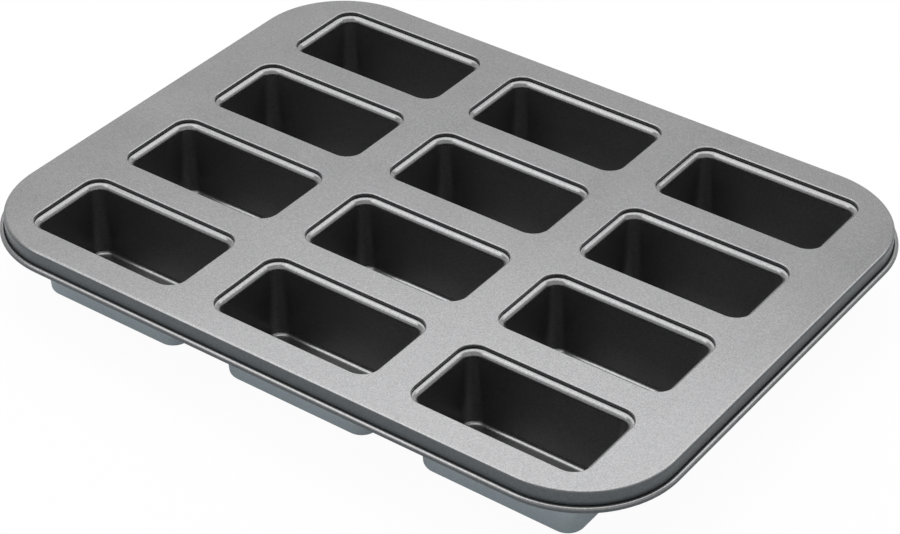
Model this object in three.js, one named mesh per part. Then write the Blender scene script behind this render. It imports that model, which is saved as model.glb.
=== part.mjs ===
// Mini loaf pan: drawn steel cups seamed into a pressed top sheet, with a wire rolled into the sheet's rim.
// Millimetres, +Z up. The origin lies on the surface the pan stands on, under the middle of the top sheet.

import * as THREE from "three";

// Cups and mouths: a mouth is the clear opening in the top sheet, between the faces of its collar.
const CUP_COLUMNS = 3;
const CUP_ROWS = 4;
const MOUTH_LENGTH = 83;
const MOUTH_WIDTH = 45.2;
const MOUTH_CORNER = 8.2;
const FLOOR_CORNER = 7.5; // plan radius inside a cup, at the foot of its walls
const CUP_DEPTH = 34.7; // inside, from the flange under the collar to the floor
const WALL_DRAFT = THREE.MathUtils.degToRad(2);

// Flat sheet left round the mouths
const COLUMN_WEB = 18;
const ROW_WEB = 15.4;
const END_MARGIN = 24.7; // from the outer mouths to the skirt's outer face
const SIDE_MARGIN = 14.8;
const SHEET_CORNER = 44.5; // plan radius of the skirt

// Metal
const TOP_SHEET = 0.5;
const CUP_SHEET = 0.5;
const WIRE_DIAMETER = 1.5;

// Inside bend radii
const EDGE_BEND = 0.9;
const MOUTH_BEND = 0.1;
const LIP_BEND = 0.1;
const SHOULDER_BEND = 2.4;
const FLOOR_BEND = 2;
const SMALLEST_CORNER = 0.5; // no corner in plan is tighter than this
const LARGEST_BEND = 0.95; // share of a skirt's or collar's drop that the bend at its top may take

// Rolled rim
const RIM_DEPTH = 9.4; // from the top face to the bottom of the curl
const CURL_CLEARANCE = 0.4; // from the curl's free edge back to the skirt
const WIRE_CLEARANCE = 0.15;
const WIRE_GAP = 0.8; // between the wire's two ends

// Lock seam between a cup and its collar
const LIP_REACH = 3.4; // from the collar's clear face back under the sheet
const FOLD_SETBACK = 0.7; // from the collar's back face to the edge of the cup's folded rim
const FOLD_CORNER = 0.3; // chamfer outside the fold
const SEAM_CLEARANCE = 0.1;

// Finishes
const SHEET_COATING = { color: 0xa3a4a5, roughness: 0.4, metalness: 0.6 };
const CUP_COATING = { color: 0x3b3f42, roughness: 0.45, metalness: 0.5 };
const BARE_WIRE = { color: 0xa8a8a6, roughness: 0.35, metalness: 1 };

// Facets: in a quarter turn of a plan corner, a bend, a cup's shoulder and the curl, and round the wire
const SHEET_CORNER_STEPS = 6;
const MOUTH_CORNER_STEPS = 3;
const EDGE_STEPS = 3;
const BEND_STEPS = 2;
const TIGHT_BEND_STEPS = 1; // insides of the mouths' bends
const SHOULDER_STEPS = 3;
const CURL_STEPS = 3;
const WIRE_SIDES = 8;

const QUARTER = Math.PI / 2;
const HALF = Math.PI;

// Levels: the folded layers of the seam set how far a cup's flange lies below the top face.
const flangeLevel = CUP_SHEET + CUP_DEPTH;
const lipLevel = flangeLevel + SEAM_CLEARANCE;
const collarDrop = 2 * TOP_SHEET + CUP_SHEET + 2 * SEAM_CLEARANCE;
const topLevel = lipLevel + collarDrop;

// The straight walls of a cup lean in from its shoulder down to its floor bend. Their foot is given as an
// offset from the mouth's clear face.
const shoulder = SHOULDER_BEND + CUP_SHEET;
const shoulderLevel = flangeLevel - shoulder;
const floorBend = FLOOR_BEND + CUP_SHEET;
const wallLean = Math.tan(WALL_DRAFT) * (shoulderLevel - floorBend);
const wallFoot = -shoulder * Math.cos(WALL_DRAFT) - wallLean;

// Plan
const columnPitch = MOUTH_LENGTH + COLUMN_WEB;
const rowPitch = MOUTH_WIDTH + ROW_WEB;
const sheetLength = (CUP_COLUMNS - 1) * columnPitch + MOUTH_LENGTH + 2 * END_MARGIN;
const sheetWidth = (CUP_ROWS - 1) * rowPitch + MOUTH_WIDTH + 2 * SIDE_MARGIN;

// The curl and its wire share one centre, as offset out from the skirt's outer face and level.
// The skirt runs straight into the curl, so its outer face touches the inside of the curl.
const wireRadius = WIRE_DIAMETER / 2;
const curlInside = wireRadius + WIRE_CLEARANCE;
const curlOutside = curlInside + TOP_SHEET;
const curlOffset = curlInside;
const curlLevel = topLevel - RIM_DEPTH + curlOutside;

// Points of an arc in a section, the short or long way that its two angles say.
function arc(offset, level, radius, from, to, steps) {
  const curve = new THREE.EllipseCurve(offset, level, radius, radius, from, to, to < from);
  return curve.getPoints(steps).map((point) => [point.x, point.y]);
}

// Points of a rounded rectangle about the origin, grown by an offset, anticlockwise seen from above.
function outline(length, width, corner, offset, steps) {
  const radius = Math.max(SMALLEST_CORNER, corner + offset);
  const x = length / 2 + offset - radius;
  const y = width / 2 + offset - radius;
  const centres = [[x, -y], [x, y], [-x, y], [-x, -y]];
  return centres.flatMap(([centreX, centreY], index) => {
    const from = (index - 1) * QUARTER;
    return new THREE.EllipseCurve(centreX, centreY, radius, radius, from, from + QUARTER).getPoints(steps);
  });
}

function sheetOutline(offset) {
  return outline(sheetLength, sheetWidth, SHEET_CORNER, offset, SHEET_CORNER_STEPS);
}

// The corners of a cup change evenly down its walls, from the mouth's radius to the floor's.
function mouthOutline(offset, level) {
  const down = THREE.MathUtils.clamp((shoulderLevel - level) / (shoulderLevel - floorBend), 0, 1);
  const corner = MOUTH_CORNER + down * (FLOOR_CORNER - MOUTH_CORNER - wallFoot);
  return outline(MOUTH_LENGTH, MOUTH_WIDTH, corner, offset, MOUTH_CORNER_STEPS);
}

// A closed surface made of rings of vertices, which are joined in turn and capped.
class Skin {
  points = [];
  faces = [];

  ring(plan, level, centre = new THREE.Vector2()) {
    return plan.map((point) => {
      this.points.push(point.x + centre.x, point.y + centre.y, level);
      return this.points.length / 3 - 1;
    });
  }

  // Joins ring after ring. An open strip has no faces from a ring's last vertex to its first.
  join(rings, open = false) {
    for (let row = 1; row < rings.length; row++) {
      const [start, end] = [rings[row - 1], rings[row]];
      for (let i = open ? 1 : 0; i < start.length; i++) {
        const before = (i + start.length - 1) % start.length;
        this.faces.push(start[before], start[i], end[i], start[before], end[i], end[before]);
      }
    }
  }

  // Fills a level ring, less its holes, so that it faces up or down.
  cap(ring, holes, facesUp) {
    const plan = (loop) => loop.map((v) => new THREE.Vector2(this.points[3 * v], this.points[3 * v + 1]));
    const vertices = [ring, ...holes].flat();
    const places = plan(vertices);
    for (const [a, b, c] of THREE.ShapeUtils.triangulateShape(plan(ring), holes.map(plan))) {
      const turnsLeft = THREE.ShapeUtils.area([places[a], places[b], places[c]]) > 0;
      const [second, third] = turnsLeft === facesUp ? [b, c] : [c, b];
      this.faces.push(vertices[a], vertices[second], vertices[third]);
    }
  }

  // Fills a convex loop that stands on edge.
  fan(loop) {
    for (let i = 2; i < loop.length; i++) {
      this.faces.push(loop[0], loop[i - 1], loop[i]);
    }
  }

  geometry() {
    const built = new THREE.BufferGeometry();
    built.setAttribute("position", new THREE.Float32BufferAttribute(this.points, 3));
    built.setIndex(this.faces);
    built.computeVertexNormals();
    return built;
  }
}

// Section of the rim, as offset out from the skirt's outer face and level: from the underside of the sheet
// down inside the skirt, round the outside of the curl to its free edge, back inside it and up the skirt.
function rimSection() {
  const edgeBend = Math.min(EDGE_BEND, LARGEST_BEND * (RIM_DEPTH - curlOutside) - TOP_SHEET);
  const edge = edgeBend + TOP_SHEET;
  const edgeLevel = topLevel - edge;
  const curlEnd = 2 * HALF + Math.acos((CURL_CLEARANCE - curlOffset) / curlOutside);
  const curlSteps = Math.ceil(((curlEnd - HALF) / QUARTER) * CURL_STEPS);
  return [
    ...arc(-edge, edgeLevel, edgeBend, QUARTER, 0, EDGE_STEPS),
    ...arc(curlOffset, curlLevel, curlOutside, HALF, curlEnd, curlSteps),
    ...arc(curlOffset, curlLevel, curlInside, curlEnd, HALF, curlSteps),
    ...arc(-edge, edgeLevel, edge, 0, QUARTER, EDGE_STEPS),
  ];
}

// Section of a mouth's collar, as offset out from its clear face and level: from the top face down the
// collar, out along the lip that the cup grips, and back up to the underside of the sheet.
function collarSection() {
  const lip = LIP_BEND + TOP_SHEET;
  const edgeBend = Math.min(MOUTH_BEND, LARGEST_BEND * (collarDrop - lip) - TOP_SHEET);
  const edge = edgeBend + TOP_SHEET;
  const edgeLevel = topLevel - edge;
  return [
    ...arc(edge, edgeLevel, edge, QUARTER, HALF, BEND_STEPS),
    ...arc(lip, lipLevel + lip, lip, HALF, 3 * QUARTER, BEND_STEPS),
    [LIP_REACH, lipLevel],
    [LIP_REACH, lipLevel + TOP_SHEET],
    ...arc(lip, lipLevel + lip, LIP_BEND, 3 * QUARTER, HALF, TIGHT_BEND_STEPS),
    ...arc(edge, edgeLevel, edgeBend, HALF, QUARTER, TIGHT_BEND_STEPS),
  ];
}

// Section of a cup, as offset from the mouth's clear face and level: from under its floor up the outside,
// round the fold that grips the collar's lip, over the shoulder and down the inside to the floor.
function cupSection() {
  const floorBendOffset = wallFoot - FLOOR_BEND * Math.cos(WALL_DRAFT);
  const wallAngle = 2 * HALF - WALL_DRAFT;
  const foldInside = LIP_REACH + SEAM_CLEARANCE;
  const foldOutside = foldInside + CUP_SHEET;
  const foldEdge = TOP_SHEET + FOLD_SETBACK;
  const foldUnder = lipLevel + TOP_SHEET + SEAM_CLEARANCE;
  const foldTop = foldUnder + CUP_SHEET;
  const flangeUnder = flangeLevel - CUP_SHEET;
  return [
    ...arc(floorBendOffset, floorBend, floorBend, 3 * QUARTER, wallAngle, BEND_STEPS),
    ...arc(0, shoulderLevel, SHOULDER_BEND, HALF - WALL_DRAFT, QUARTER, SHOULDER_STEPS),
    [foldOutside - FOLD_CORNER, flangeUnder],
    [foldOutside, flangeUnder + FOLD_CORNER],
    [foldOutside, foldTop - FOLD_CORNER],
    [foldOutside - FOLD_CORNER, foldTop],
    [foldEdge, foldTop],
    [foldEdge, foldUnder],
    [foldInside, foldUnder],
    [foldInside, flangeLevel],
    ...arc(0, shoulderLevel, shoulder, QUARTER, HALF - WALL_DRAFT, SHOULDER_STEPS),
    ...arc(floorBendOffset, floorBend, FLOOR_BEND, wallAngle, 3 * QUARTER, BEND_STEPS),
  ];
}

// Names and centres of the mouths, row by row from the front left.
function mouths() {
  const found = [];
  for (let row = 0; row < CUP_ROWS; row++) {
    for (let column = 0; column < CUP_COLUMNS; column++) {
      const x = (column - (CUP_COLUMNS - 1) / 2) * columnPitch;
      const y = (row - (CUP_ROWS - 1) / 2) * rowPitch;
      found.push({ name: `r${row + 1}_c${column + 1}`, centre: new THREE.Vector2(x, y) });
    }
  }
  return found;
}

// The top sheet is one pressing: a flat plate whose edges are formed into the rim and the mouths' collars.
function topSheet() {
  const skin = new Skin();
  const rim = rimSection().map(([offset, level]) => skin.ring(sheetOutline(offset), level));
  skin.join(rim);
  const collars = mouths().map(({ centre }) => {
    const rings = collarSection().map(([offset, level]) => {
      return skin.ring(mouthOutline(offset, level), level, centre);
    });
    skin.join(rings);
    return rings;
  });
  skin.cap(rim.at(-1), collars.map((rings) => rings[0]), true);
  skin.cap(rim[0], collars.map((rings) => rings.at(-1)), false);
  return skin.geometry();
}

// One drawn cup, about the middle of its own floor.
function loafCup() {
  const skin = new Skin();
  const rings = cupSection().map(([offset, level]) => skin.ring(mouthOutline(offset, level), level));
  skin.join(rings);
  skin.cap(rings[0], [], false);
  skin.cap(rings.at(-1), [], true);
  return skin.geometry();
}

// The wire inside the curl: one loop from the middle of the back edge, whose ends don't quite meet.
function rimWire() {
  const skin = new Skin();
  const sides = arc(curlOffset, curlLevel, wireRadius, -HALF, HALF, WIRE_SIDES).slice(1);
  const rings = sides.map(([offset, level]) => {
    const corners = sheetOutline(offset);
    const back = sheetWidth / 2 + offset;
    const start = new THREE.Vector2(-WIRE_GAP / 2, back);
    const end = new THREE.Vector2(WIRE_GAP / 2, back);
    const half = corners.length / 2;
    return skin.ring([start, ...corners.slice(half), ...corners.slice(0, half), end], level);
  });
  skin.join([...rings, rings[0]], true);
  skin.fan(rings.map((ring) => ring[0]));
  skin.fan(rings.map((ring) => ring.at(-1)).reverse());
  return skin.geometry();
}

function piece(name, geometry, finish) {
  const mesh = new THREE.Mesh(geometry, new THREE.MeshStandardMaterial(finish));
  mesh.name = name;
  return mesh;
}

const pan = new THREE.Group();
pan.add(piece("top_sheet", topSheet(), SHEET_COATING));
pan.add(piece("rim_wire", rimWire(), BARE_WIRE));
for (const { name, centre } of mouths()) {
  const cup = piece(`loaf_cup_${name}`, loafCup(), CUP_COATING);
  cup.position.set(centre.x, centre.y, 0);
  pan.add(cup);
}

export default pan;
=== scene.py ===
import math

import bpy
from mathutils import Matrix, Vector
from mathutils.geometry import tessellate_polygon


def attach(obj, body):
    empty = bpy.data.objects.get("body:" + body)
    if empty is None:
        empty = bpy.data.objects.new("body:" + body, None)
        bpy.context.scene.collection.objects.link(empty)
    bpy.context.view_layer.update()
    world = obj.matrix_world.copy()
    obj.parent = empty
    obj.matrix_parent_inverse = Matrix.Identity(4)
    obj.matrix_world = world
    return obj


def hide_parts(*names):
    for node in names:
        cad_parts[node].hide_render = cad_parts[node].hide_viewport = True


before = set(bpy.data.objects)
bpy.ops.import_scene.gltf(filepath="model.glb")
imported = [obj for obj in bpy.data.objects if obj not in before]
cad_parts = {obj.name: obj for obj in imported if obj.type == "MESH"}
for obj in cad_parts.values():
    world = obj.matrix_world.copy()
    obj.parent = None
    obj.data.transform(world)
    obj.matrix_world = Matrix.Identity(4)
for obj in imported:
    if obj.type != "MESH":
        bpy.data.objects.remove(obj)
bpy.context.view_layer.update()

# Loaf cups: boxes deep-drawn from thin steel sheet, with slightly sloping walls and rounded bends, and coated
# all over. The top of each wall rolls over a round shoulder. Its edge passes under the lip of the top sheet's
# collar, turns up and is folded back over it, and that lock seam holds the cup for good.
MM = 0.001
COLUMNS, ROWS = 3, 4
COLUMN_PITCH, ROW_PITCH = 101.0, 60.6
MOUTH_LENGTH, MOUTH_WIDTH, MOUTH_CORNER = 83.0, 45.2, 8.2
METAL = 0.5
CUP_DEPTH = 34.7
WALL_DRAFT = 2.0
SHOULDER_BEND = 2.4
FLOOR_BEND = 2.0
FLOOR_CORNER = 7.5
SEAM_GAP = 0.1
LIP_REACH = 3.4
FOLD_EDGE = 1.2
FOLD_CORNER = 0.3
TIGHTEST_CORNER = 0.5
MOUTH_FACETS = 10
BEND_FACETS = 6
FLANGE_LEVEL = METAL + CUP_DEPTH
LIP_LEVEL = FLANGE_LEVEL + SEAM_GAP
# Finish slots. On a cup, the third slot is the inside walls' rougher coat, whose darker tone is painted shade.
INSIDE, OUTSIDE, ROUGH_WALL_PAINTED_SHADE = 0, 1, 2
NO_AREA = 1e-9


def bend(offset, level, radius, start, end, facets):
    """Points of a bend in a section, each with its direction from the bend's centre."""
    turns = [math.radians(start + (end - start) * i / facets) for i in range(facets + 1)]
    return [(offset + radius * math.cos(t), level + radius * math.sin(t), math.cos(t), math.sin(t)) for t in turns]


def corner(offset, level):
    """A sharp corner of a section."""
    return [(offset, level, 0.0, 0.0)]


def rounded_outline(length, width, radius, facets, opening=lambda level: 0.0):
    """Gives, for an offset outwards and a level, the points of a rounded rectangle and the directions they face.
    Its corners are rounder than the radius by what opening says for the level."""

    def at(offset, level):
        turn = max(TIGHTEST_CORNER, radius + offset + opening(level))
        x, y = length / 2 + offset - turn, width / 2 + offset - turn
        points = []
        for k, (cx, cy) in enumerate(((x, -y), (x, y), (-x, y), (-x, -y))):
            for i in range(facets + 1):
                angle = math.radians(90 * (k - 1 + i / facets))
                c, s = math.cos(angle), math.sin(angle)
                points.append((cx + turn * c, cy + turn * s, c, s))
        return points

    return at


class FormedSheet:
    """The closed skin of a piece of formed sheet, with the normal at each corner of each of its faces."""

    def __init__(self):
        self.points, self.faces, self.normals, self.finishes = [], [], [], []

    def wrap(self, section, outline, centre=(0.0, 0.0)):
        """Carries a section round an outline. The metal lies on the left of the way that the section runs. A third
        item in a run of the section is the finish of the straight after it."""
        steps = [(point, run) for run, (_, points, *_) in enumerate(section) for point in points]
        rings = []
        for (offset, level, _, _), _ in steps:
            ring = []
            for x, y, _, _ in outline(offset, level):
                ring.append(len(self.points))
                self.points.append(Vector((x + centre[0], y + centre[1], level)))
            rings.append(ring)
        facing = [Vector((c, s, 0.0)) for _, _, c, s in outline(*section[0][1][0][:2])]
        for k in range(1, len(steps)):
            (a, run_a), (b, run_b) = steps[k - 1], steps[k]
            normals = []
            for i, out in enumerate(facing):
                way = self.points[rings[k][i]] - self.points[rings[k - 1][i]]
                straight = (way.z * out - way.dot(out) * Vector((0.0, 0.0, 1.0))).normalized()
                pair = (straight, straight)
                if run_a == run_b:
                    pair = [out * c + Vector((0.0, 0.0, s)) for _, _, c, s in (a, b)]
                    if pair[0].dot(straight) < 0:
                        pair = [-n for n in pair]
                normals.append(pair)
            finish, _, *straight_finish = section[run_a]
            if straight_finish and run_a != run_b:
                finish = straight_finish[0]
            for i in range(len(facing)):
                h = i - 1
                self.faces.append((rings[k - 1][h], rings[k - 1][i], rings[k][i], rings[k][h]))
                self.normals += [normals[h][0], normals[i][0], normals[i][1], normals[h][1]]
                self.finishes.append(finish)
        return rings[0], rings[-1]

    def cover(self, loops, faces_up, finish):
        """Fills a level loop of points, less the loops within it."""
        flat = [index for loop in loops for index in loop]
        for triangle in tessellate_polygon([[self.points[index] for index in loop] for loop in loops]):
            a, b, c = (flat[t] for t in triangle)
            turn = (self.points[b] - self.points[a]).cross(self.points[c] - self.points[a]).z
            if abs(turn) < NO_AREA:
                continue
            self.faces.append((a, b, c) if (turn > 0) == faces_up else (a, c, b))
            self.normals += [Vector((0.0, 0.0, 1.0 if faces_up else -1.0))] * 3
            self.finishes.append(finish)

    def piece(self, name, *materials):
        mesh = bpy.data.meshes.new(name)
        mesh.from_pydata([point * MM for point in self.points], [], self.faces)
        for material in materials:
            mesh.materials.append(material)
        mesh.polygons.foreach_set("material_index", self.finishes)
        mesh.shade_smooth()
        mesh.normals_split_custom_set(self.normals)
        mesh.validate()
        built = bpy.data.objects.new(name, mesh)
        bpy.context.scene.collection.objects.link(built)
        return built


COAT_METAL = 0.85
FLAKE_SCALE = 2300
CLOUD_SCALE, CLOUD_DETAIL = 35, 4
CLOUD_TONE, CLOUD_GLOSS = 0.06, 0.04
RIPPLE_SCALE, RIPPLE_DETAIL, RIPPLE_HEIGHT = 1300, 2, 0.000012


def coating(name, tone, roughness, flakes, peel):
    """Baked-on coating full of metal flakes: speckled tone, cloudy gloss and a fine orange-peel surface."""
    material = bpy.data.materials.new(name)
    material.use_nodes = True
    nodes, links = material.node_tree.nodes, material.node_tree.links
    shader = nodes["Principled BSDF"]
    shader.inputs["Metallic"].default_value = COAT_METAL
    place = nodes.new("ShaderNodeTexCoord")

    speck = nodes.new("ShaderNodeTexVoronoi")
    speck.inputs["Scale"].default_value = FLAKE_SCALE
    links.new(place.outputs["Object"], speck.inputs["Vector"])
    speck_tone = nodes.new("ShaderNodeMapRange")
    speck_tone.inputs["To Min"].default_value = 1 - flakes
    speck_tone.inputs["To Max"].default_value = 1 + flakes
    links.new(speck.outputs["Color"], speck_tone.inputs["Value"])

    cloud = nodes.new("ShaderNodeTexNoise")
    cloud.inputs["Scale"].default_value = CLOUD_SCALE
    cloud.inputs["Detail"].default_value = CLOUD_DETAIL
    links.new(place.outputs["Object"], cloud.inputs["Vector"])
    cloud_tone = nodes.new("ShaderNodeMapRange")
    cloud_tone.inputs["To Min"].default_value = 1 - CLOUD_TONE
    cloud_tone.inputs["To Max"].default_value = 1 + CLOUD_TONE
    links.new(cloud.outputs["Fac"], cloud_tone.inputs["Value"])
    both = nodes.new("ShaderNodeMath")
    both.operation = "MULTIPLY"
    links.new(speck_tone.outputs["Result"], both.inputs[0])
    links.new(cloud_tone.outputs["Result"], both.inputs[1])
    colour = nodes.new("ShaderNodeVectorMath")
    colour.operation = "SCALE"
    colour.inputs[0].default_value = tone
    links.new(both.outputs["Value"], colour.inputs["Scale"])
    links.new(colour.outputs["Vector"], shader.inputs["Base Color"])

    gloss = nodes.new("ShaderNodeMapRange")
    gloss.inputs["To Min"].default_value = roughness - CLOUD_GLOSS
    gloss.inputs["To Max"].default_value = roughness + CLOUD_GLOSS
    links.new(cloud.outputs["Fac"], gloss.inputs["Value"])
    links.new(gloss.outputs["Result"], shader.inputs["Roughness"])

    ripple = nodes.new("ShaderNodeTexNoise")
    ripple.inputs["Scale"].default_value = RIPPLE_SCALE
    ripple.inputs["Detail"].default_value = RIPPLE_DETAIL
    links.new(place.outputs["Object"], ripple.inputs["Vector"])
    bump = nodes.new("ShaderNodeBump")
    bump.inputs["Strength"].default_value = peel
    bump.inputs["Distance"].default_value = RIPPLE_HEIGHT
    links.new(ripple.outputs["Fac"], bump.inputs["Height"])
    links.new(bump.outputs["Normal"], shader.inputs["Normal"])
    return material


non_stick = coating("non_stick_coating", tone=(0.199, 0.199, 0.202), roughness=0.22, flakes=0.20, peel=0.4)
outer_coat = coating("outer_coating", tone=(0.42, 0.475, 0.508), roughness=0.50, flakes=0.10, peel=0.5)
# The inside walls of the cups get a rougher, darker copy of the coat. The rougher gloss belongs to the drawn walls;
# the darker tone is painted shade for the depth of the cups.
rough_wall_painted_shade_coat = coating("rough_wall_painted_shade_coating", tone=(0.144, 0.144, 0.146), roughness=0.34, flakes=0.20, peel=0.4)
shoulder = SHOULDER_BEND + METAL
shoulder_level = FLANGE_LEVEL - shoulder
floor_bend = FLOOR_BEND + METAL
draft = math.radians(WALL_DRAFT)
wall_foot = -shoulder * math.cos(draft) - math.tan(draft) * (shoulder_level - floor_bend)


def corner_opening(level):
    """How much rounder a cup's corners are at a level: they open out evenly down the walls."""
    share = (shoulder_level - level) / (shoulder_level - floor_bend)
    return (FLOOR_CORNER - MOUTH_CORNER - wall_foot) * min(1.0, max(0.0, share))


mouth_outline = rounded_outline(MOUTH_LENGTH, MOUTH_WIDTH, MOUTH_CORNER, MOUTH_FACETS, corner_opening)


def cup_section():
    """From under the floor up the outside, round the fold, over the shoulder and down the inside to the floor."""
    floor_offset = wall_foot - FLOOR_BEND * math.cos(draft)
    fold_inside = LIP_REACH + SEAM_GAP
    fold_outside = fold_inside + METAL
    fold_under = LIP_LEVEL + METAL + SEAM_GAP
    fold_top = fold_under + METAL
    under = FLANGE_LEVEL - METAL
    return [
        (OUTSIDE, bend(floor_offset, floor_bend, floor_bend, 270, 360 - WALL_DRAFT, BEND_FACETS)),
        (OUTSIDE, bend(0.0, shoulder_level, SHOULDER_BEND, 180 - WALL_DRAFT, 90, BEND_FACETS)),
        (OUTSIDE, corner(fold_outside - FOLD_CORNER, under)),
        (OUTSIDE, corner(fold_outside, under + FOLD_CORNER)),
        (OUTSIDE, corner(fold_outside, fold_top - FOLD_CORNER)),
        (OUTSIDE, corner(fold_outside - FOLD_CORNER, fold_top)),
        (OUTSIDE, corner(FOLD_EDGE, fold_top)),
        (INSIDE, corner(FOLD_EDGE, fold_under)),
        (INSIDE, corner(fold_inside, fold_under)),
        (INSIDE, corner(fold_inside, FLANGE_LEVEL)),
        # The straight inside wall below the shoulder takes the darker coat, which is painted shade.
        (INSIDE, bend(0.0, shoulder_level, shoulder, 90, 180 - WALL_DRAFT, 2 * BEND_FACETS), ROUGH_WALL_PAINTED_SHADE),
        (INSIDE, bend(floor_offset, floor_bend, FLOOR_BEND, 360 - WALL_DRAFT, 270, BEND_FACETS)),
    ]


mouths = {}
for row in range(ROWS):
    for column in range(COLUMNS):
        mouths[f"r{row + 1}_c{column + 1}"] = ((column - (COLUMNS - 1) / 2) * COLUMN_PITCH,
                                               (row - (ROWS - 1) / 2) * ROW_PITCH)

for place, centre in mouths.items():
    skin = FormedSheet()
    underside, floor = skin.wrap(cup_section(), mouth_outline, centre)
    skin.cover([underside], False, OUTSIDE)
    skin.cover([floor], True, INSIDE)
    cup = skin.piece(f"drawn_cup_{place}", non_stick, outer_coat, rough_wall_painted_shade_coat)
    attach(cup, "root")
    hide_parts(f"loaf_cup_{place}")

# Top sheet: one pressing of steel, coated all over. The edge of each mouth is turned down into a collar, whose lip
# the cup's rim grips. The outer edge is rounded over into a skirt, and the skirt's foot is rolled outward and up
# round a wire, which stiffens the pan and leaves no sharp edge. The skirt, the lower, outward-facing part of the
# edge bend and the underside and outer face of the curl are painted darker and bluish. This is painted shade and a
# painted bluish reflection of the dark surroundings that they mirror; the faces turned up keep the bright coat.
SHEET_LENGTH, SHEET_WIDTH, SHEET_CORNER = 334.4, 256.6, 44.5
EDGE_BEND = 0.9
MOUTH_BEND = 0.1
LIP_BEND = 0.1
RIM_DEPTH = 9.4
WIRE_RADIUS = 0.75
WIRE_GAP = 0.15
FREE_EDGE_GAP = 0.4
SHEET_FACETS = 24
CURL_FACETS = 36
TOP_LEVEL = LIP_LEVEL + 3 * METAL + 2 * SEAM_GAP
CURL_INSIDE = WIRE_RADIUS + WIRE_GAP
CURL_OUTSIDE = CURL_INSIDE + METAL
CURL_LEVEL = TOP_LEVEL - RIM_DEPTH + CURL_OUTSIDE
# The rim's darker, bluish coat is painted shade and a painted bluish reflection. Below are its slot, where it ends
# round the curl and round the edge bend in degrees, and the step in degrees to the bright coat.
PAINTED_SHADE_RIM = 2
PAINTED_SHADE_RIM_COAT_ON_CURL, PAINTED_SHADE_RIM_COAT_ON_EDGE, PAINTED_SHADE_STEP = 385, 40, 5

sheet_outline = rounded_outline(SHEET_LENGTH, SHEET_WIDTH, SHEET_CORNER, SHEET_FACETS)


def rim_section():
    """From the underside down inside the skirt, round the curl to its free edge, back and up to the top face. The
    painted shade of the skirt reaches part of the way round the curl and the edge bend, over the faces that turn
    sideways and down."""
    edge = EDGE_BEND + METAL
    free_edge = 360 + math.degrees(math.acos((FREE_EDGE_GAP - CURL_INSIDE) / CURL_OUTSIDE))
    return [
        (OUTSIDE, bend(-edge, TOP_LEVEL - edge, EDGE_BEND, 90, 0, BEND_FACETS)),
        (PAINTED_SHADE_RIM, bend(CURL_INSIDE, CURL_LEVEL, CURL_OUTSIDE, 180, PAINTED_SHADE_RIM_COAT_ON_CURL, CURL_FACETS)),
        (INSIDE, bend(CURL_INSIDE, CURL_LEVEL, CURL_OUTSIDE, PAINTED_SHADE_RIM_COAT_ON_CURL + PAINTED_SHADE_STEP, free_edge,
                      2 * BEND_FACETS)),
        (INSIDE, bend(CURL_INSIDE, CURL_LEVEL, CURL_INSIDE, free_edge, 180, CURL_FACETS), PAINTED_SHADE_RIM),
        (PAINTED_SHADE_RIM, bend(-edge, TOP_LEVEL - edge, edge, 0, PAINTED_SHADE_RIM_COAT_ON_EDGE, BEND_FACETS)),
        (INSIDE, bend(-edge, TOP_LEVEL - edge, edge, PAINTED_SHADE_RIM_COAT_ON_EDGE + PAINTED_SHADE_STEP, 90, BEND_FACETS)),
    ]


def collar_section():
    """From the top face down the collar, out along its lip and back up to the underside."""
    lip = LIP_BEND + METAL
    edge = MOUTH_BEND + METAL
    return [
        (INSIDE, bend(edge, TOP_LEVEL - edge, edge, 90, 180, BEND_FACETS)),
        (INSIDE, bend(lip, LIP_LEVEL + lip, lip, 180, 270, BEND_FACETS)),
        (INSIDE, corner(LIP_REACH, LIP_LEVEL)),
        (OUTSIDE, corner(LIP_REACH, LIP_LEVEL + METAL)),
        (OUTSIDE, bend(lip, LIP_LEVEL + lip, LIP_BEND, 270, 180, BEND_FACETS)),
        (OUTSIDE, bend(edge, TOP_LEVEL - edge, MOUTH_BEND, 180, 90, BEND_FACETS)),
    ]


skin = FormedSheet()
under_loops, top_loops = [], []
first, last = skin.wrap(rim_section(), sheet_outline)
under_loops.append(first)
top_loops.append(last)
for centre in mouths.values():
    first, last = skin.wrap(collar_section(), mouth_outline, centre)
    top_loops.append(first)
    under_loops.append(last)
skin.cover(top_loops, True, INSIDE)
skin.cover(under_loops, False, OUTSIDE)
# The darker, bluish copy of the coat, on the skirt, the curl's underside and outer face, and the edge bend's lower
# part, is painted shade and a painted bluish reflection.
painted_shade_rim_coat = coating("painted_shade_rim_coating", tone=(0.104, 0.115, 0.121), roughness=0.34, flakes=0.20, peel=0.4)
top_sheet = skin.piece("pressed_top_sheet", non_stick, outer_coat, painted_shade_rim_coat)
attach(top_sheet, "root")
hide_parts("top_sheet")

# Rim wire: a single loop of bare drawn steel wire, bent to the outline of the rim and shut in by the curl. Its
# two ends nearly meet at the middle of the back edge.
WIRE_ENDS_GAP = 0.8
WIRE_SIDES = 16
WIRE_METAL = 1.0
MARKS_SCALE, MARKS_DETAIL = 1800, 3
WIRE_DARK, WIRE_PALE = (0.30, 0.30, 0.29, 1), (0.46, 0.46, 0.45, 1)
WIRE_SMOOTH, WIRE_ROUGH = 0.28, 0.42


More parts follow.
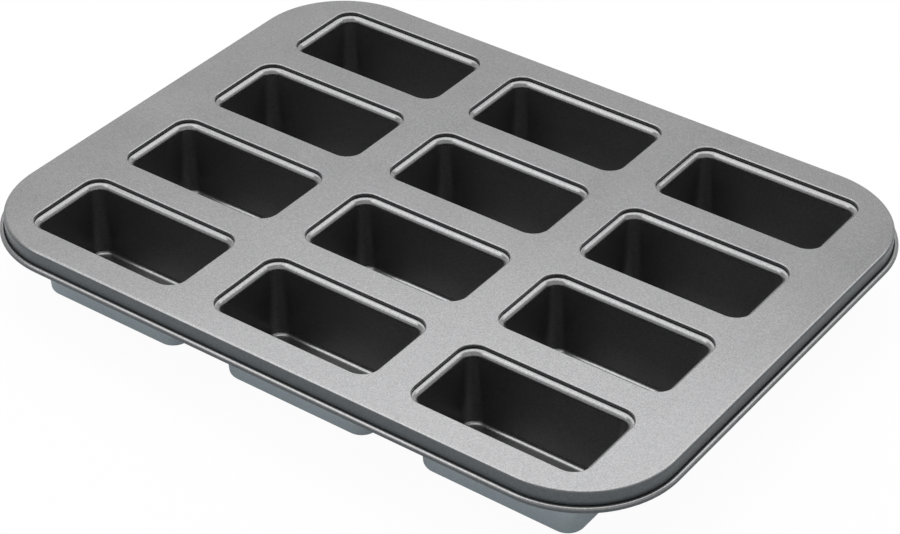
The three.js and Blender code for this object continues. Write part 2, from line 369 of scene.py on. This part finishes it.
def drawn_steel(name):
    """Bare wire with faint lengthwise marks from the drawing die."""
    material = bpy.data.materials.new(name)
    material.use_nodes = True
    nodes, links = material.node_tree.nodes, material.node_tree.links
    shader = nodes["Principled BSDF"]
    shader.inputs["Metallic"].default_value = WIRE_METAL
    place = nodes.new("ShaderNodeTexCoord")
    marks = nodes.new("ShaderNodeTexNoise")
    marks.inputs["Scale"].default_value = MARKS_SCALE
    marks.inputs["Detail"].default_value = MARKS_DETAIL
    links.new(place.outputs["Object"], marks.inputs["Vector"])
    tone = nodes.new("ShaderNodeValToRGB")
    tone.color_ramp.elements[0].color = WIRE_DARK
    tone.color_ramp.elements[1].color = WIRE_PALE
    links.new(marks.outputs["Fac"], tone.inputs["Fac"])
    links.new(tone.outputs["Color"], shader.inputs["Base Color"])
    gloss = nodes.new("ShaderNodeMapRange")
    gloss.inputs["To Min"].default_value = WIRE_SMOOTH
    gloss.inputs["To Max"].default_value = WIRE_ROUGH
    links.new(marks.outputs["Fac"], gloss.inputs["Value"])
    links.new(gloss.outputs["Result"], shader.inputs["Roughness"])
    return material


wire_mesh = bpy.data.meshes.new("rolled_in_wire")
points, faces = [], []
for side in range(WIRE_SIDES):
    angle = 2 * math.pi * side / WIRE_SIDES
    offset = CURL_INSIDE + WIRE_RADIUS * math.cos(angle)
    level = CURL_LEVEL + WIRE_RADIUS * math.sin(angle)
    loop = [(x, y) for x, y, _, _ in sheet_outline(offset, level)]
    back = SHEET_WIDTH / 2 + offset
    middle = len(loop) // 2
    loop = [(-WIRE_ENDS_GAP / 2, back), *loop[middle:], *loop[:middle], (WIRE_ENDS_GAP / 2, back)]
    points += [(x * MM, y * MM, level * MM) for x, y in loop]
    length = len(loop)
for side in range(WIRE_SIDES):
    here, there = side * length, (side + 1) % WIRE_SIDES * length
    faces += [(here + i, here + i + 1, there + i + 1, there + i) for i in range(length - 1)]
faces.append(tuple(side * length for side in range(WIRE_SIDES)))
faces.append(tuple(side * length + length - 1 for side in reversed(range(WIRE_SIDES))))
wire_mesh.from_pydata(points, [], faces)
wire_mesh.materials.append(drawn_steel("drawn_steel"))
wire_mesh.polygons.foreach_set("use_smooth", [len(face) == 4 for face in faces])
wire = bpy.data.objects.new("rolled_in_wire", wire_mesh)
bpy.context.scene.collection.objects.link(wire)
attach(wire, "root")
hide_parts("rim_wire")

# Table: a wide plain white sheet that the cups stand on. The camera sees most of it as even white, and the rest
# of it shows the soft shadow of the pan. The metal mirrors less of the even white and more of the lit sheet.
TABLE_SIZE = 12.0
TABLE_GAP = 0.02
TABLE_WHITE = 0.90
EVEN_WHITE_SEEN, EVEN_WHITE_MIRRORED = 0.96, 0.25


def seen_directly(nodes, links, seen, mirrored):
    """One share for a ray from the camera, one for a reflection or clear glass, and none for other rays."""
    path = nodes.new("ShaderNodeLightPath")
    total = None
    for ray, share in (("Is Camera Ray", seen), ("Is Glossy Ray", mirrored), ("Is Transmission Ray", mirrored)):
        part = nodes.new("ShaderNodeMath")
        part.operation = "MULTIPLY"
        part.inputs[1].default_value = share
        links.new(path.outputs[ray], part.inputs[0])
        if total is not None:
            larger = nodes.new("ShaderNodeMath")
            larger.operation = "MAXIMUM"
            links.new(total, larger.inputs[0])
            links.new(part.outputs["Value"], larger.inputs[1])
            part = larger
        total = part.outputs["Value"]
    return total


table_mesh = bpy.data.meshes.new("table")
half, level = TABLE_SIZE / 2, -TABLE_GAP * MM
table_mesh.from_pydata([(x, y, level) for x, y in ((-half, -half), (half, -half), (half, half), (-half, half))], [],
                       [(0, 1, 2, 3)])
table = bpy.data.objects.new("table", table_mesh)
bpy.context.scene.collection.objects.link(table)
white = bpy.data.materials.new("white_table")
white.use_nodes = True
nodes, links = white.node_tree.nodes, white.node_tree.links
nodes.remove(nodes["Principled BSDF"])
matt = nodes.new("ShaderNodeBsdfDiffuse")
matt.inputs["Color"].default_value = (TABLE_WHITE, TABLE_WHITE, TABLE_WHITE, 1)
even = nodes.new("ShaderNodeEmission")
mix = nodes.new("ShaderNodeMixShader")
links.new(seen_directly(nodes, links, EVEN_WHITE_SEEN, EVEN_WHITE_MIRRORED), mix.inputs["Fac"])
links.new(matt.outputs["BSDF"], mix.inputs[1])
links.new(even.outputs["Emission"], mix.inputs[2])
links.new(mix.outputs["Shader"], nodes["Material Output"].inputs["Surface"])
table_mesh.materials.append(white)

# Light: one large oval soft box high over the back of the pan, whose reflection brightens the level faces and
# the bends, a pale panel below it, small soft boxes at the front left and the back right, and a weak even fill
# from the white room.
FILL = 0.17
MAIN_BOX = {"azimuth": 219.0, "elevation": 73.0, "distance": 1.6, "length": 2.1, "width": 2.3, "power": 25.0,
            "shape": "ELLIPSE"}
BACK_PANEL = {"azimuth": 217.0, "elevation": 24.0, "distance": 1.8, "length": 2.5, "width": 0.73, "power": 1.87}
SIDE_BOX = {"azimuth": 313.0, "elevation": 50.0, "distance": 1.6, "length": 0.9, "width": 0.9, "power": 5.44}
RIGHT_BOX = {"azimuth": 155.0, "elevation": 42.0, "distance": 1.6, "length": 0.75, "width": 0.6, "power": 2.98}


def direction(azimuth, elevation):
    """Points from the pan to a place; azimuth 0 is the front."""
    a, e = math.radians(azimuth), math.radians(elevation)
    return Vector((math.sin(a) * math.cos(e), -math.cos(a) * math.cos(e), math.sin(e)))


def placed(x_axis, z_axis, position):
    """Matrix of a thing with these two axes, of which z is exact and x is squared to it."""
    y = z_axis.cross(x_axis).normalized()
    return Matrix.Translation(position) @ Matrix((y.cross(z_axis), y, z_axis)).transposed().to_4x4()


def soft_box(name, azimuth, elevation, distance, length, width, power, shape="RECTANGLE"):
    """A box that faces the pan, with its length level."""
    lamp = bpy.data.lights.new(name, "AREA")
    lamp.shape = shape
    lamp.size, lamp.size_y = length, width
    lamp.energy = power
    holder = bpy.data.objects.new(name, lamp)
    away = direction(azimuth, elevation)
    holder.matrix_world = placed(direction(azimuth + 90, 0.0), away, away * distance)
    bpy.context.scene.collection.objects.link(holder)


soft_box("main_soft_box", **MAIN_BOX)
soft_box("back_panel", **BACK_PANEL)
soft_box("side_soft_box", **SIDE_BOX)
soft_box("right_soft_box", **RIGHT_BOX)
room = bpy.data.worlds.new("white_room")
room.use_nodes = True
nodes, links = room.node_tree.nodes, room.node_tree.links
fill = nodes["Background"]
fill.inputs["Color"].default_value = (1, 1, 1, 1)
fill.inputs["Strength"].default_value = FILL
backdrop = nodes.new("ShaderNodeBackground")
backdrop.inputs["Color"].default_value = (1, 1, 1, 1)
mix = nodes.new("ShaderNodeMixShader")
links.new(seen_directly(nodes, links, 1.0, 1.0), mix.inputs["Fac"])
links.new(fill.outputs["Background"], mix.inputs[1])
links.new(backdrop.outputs["Background"], mix.inputs[2])
links.new(mix.outputs["Shader"], nodes["World Output"].inputs["Surface"])
bpy.context.scene.world = room

# Camera: a long lens at the pan's front right corner, which looks down on the whole pan and is very slightly
# rolled.
AIM = Vector((0.02390, -0.03223, 0.0370))
CAMERA_AZIMUTH, CAMERA_ELEVATION, CAMERA_ROLL = 35.257, 35.761, 0.736
CAMERA_DISTANCE = 1.08163
LENS, SENSOR = 102.76, 36.0

lens = bpy.data.cameras.new("camera")
lens.lens, lens.sensor_width, lens.sensor_fit = LENS, SENSOR, "HORIZONTAL"
back = direction(CAMERA_AZIMUTH, CAMERA_ELEVATION)
level_right = Vector((0, 0, 1)).cross(back).normalized()
level_up = back.cross(level_right)
roll = math.radians(CAMERA_ROLL)
right = level_right * math.cos(roll) + level_up * math.sin(roll)
camera = bpy.data.objects.new("camera", lens)
camera.matrix_world = placed(right, back, AIM + back * CAMERA_DISTANCE)
bpy.context.scene.collection.objects.link(camera)
bpy.context.scene.camera = camera
bpy.context.scene.view_settings.view_transform = "Standard"
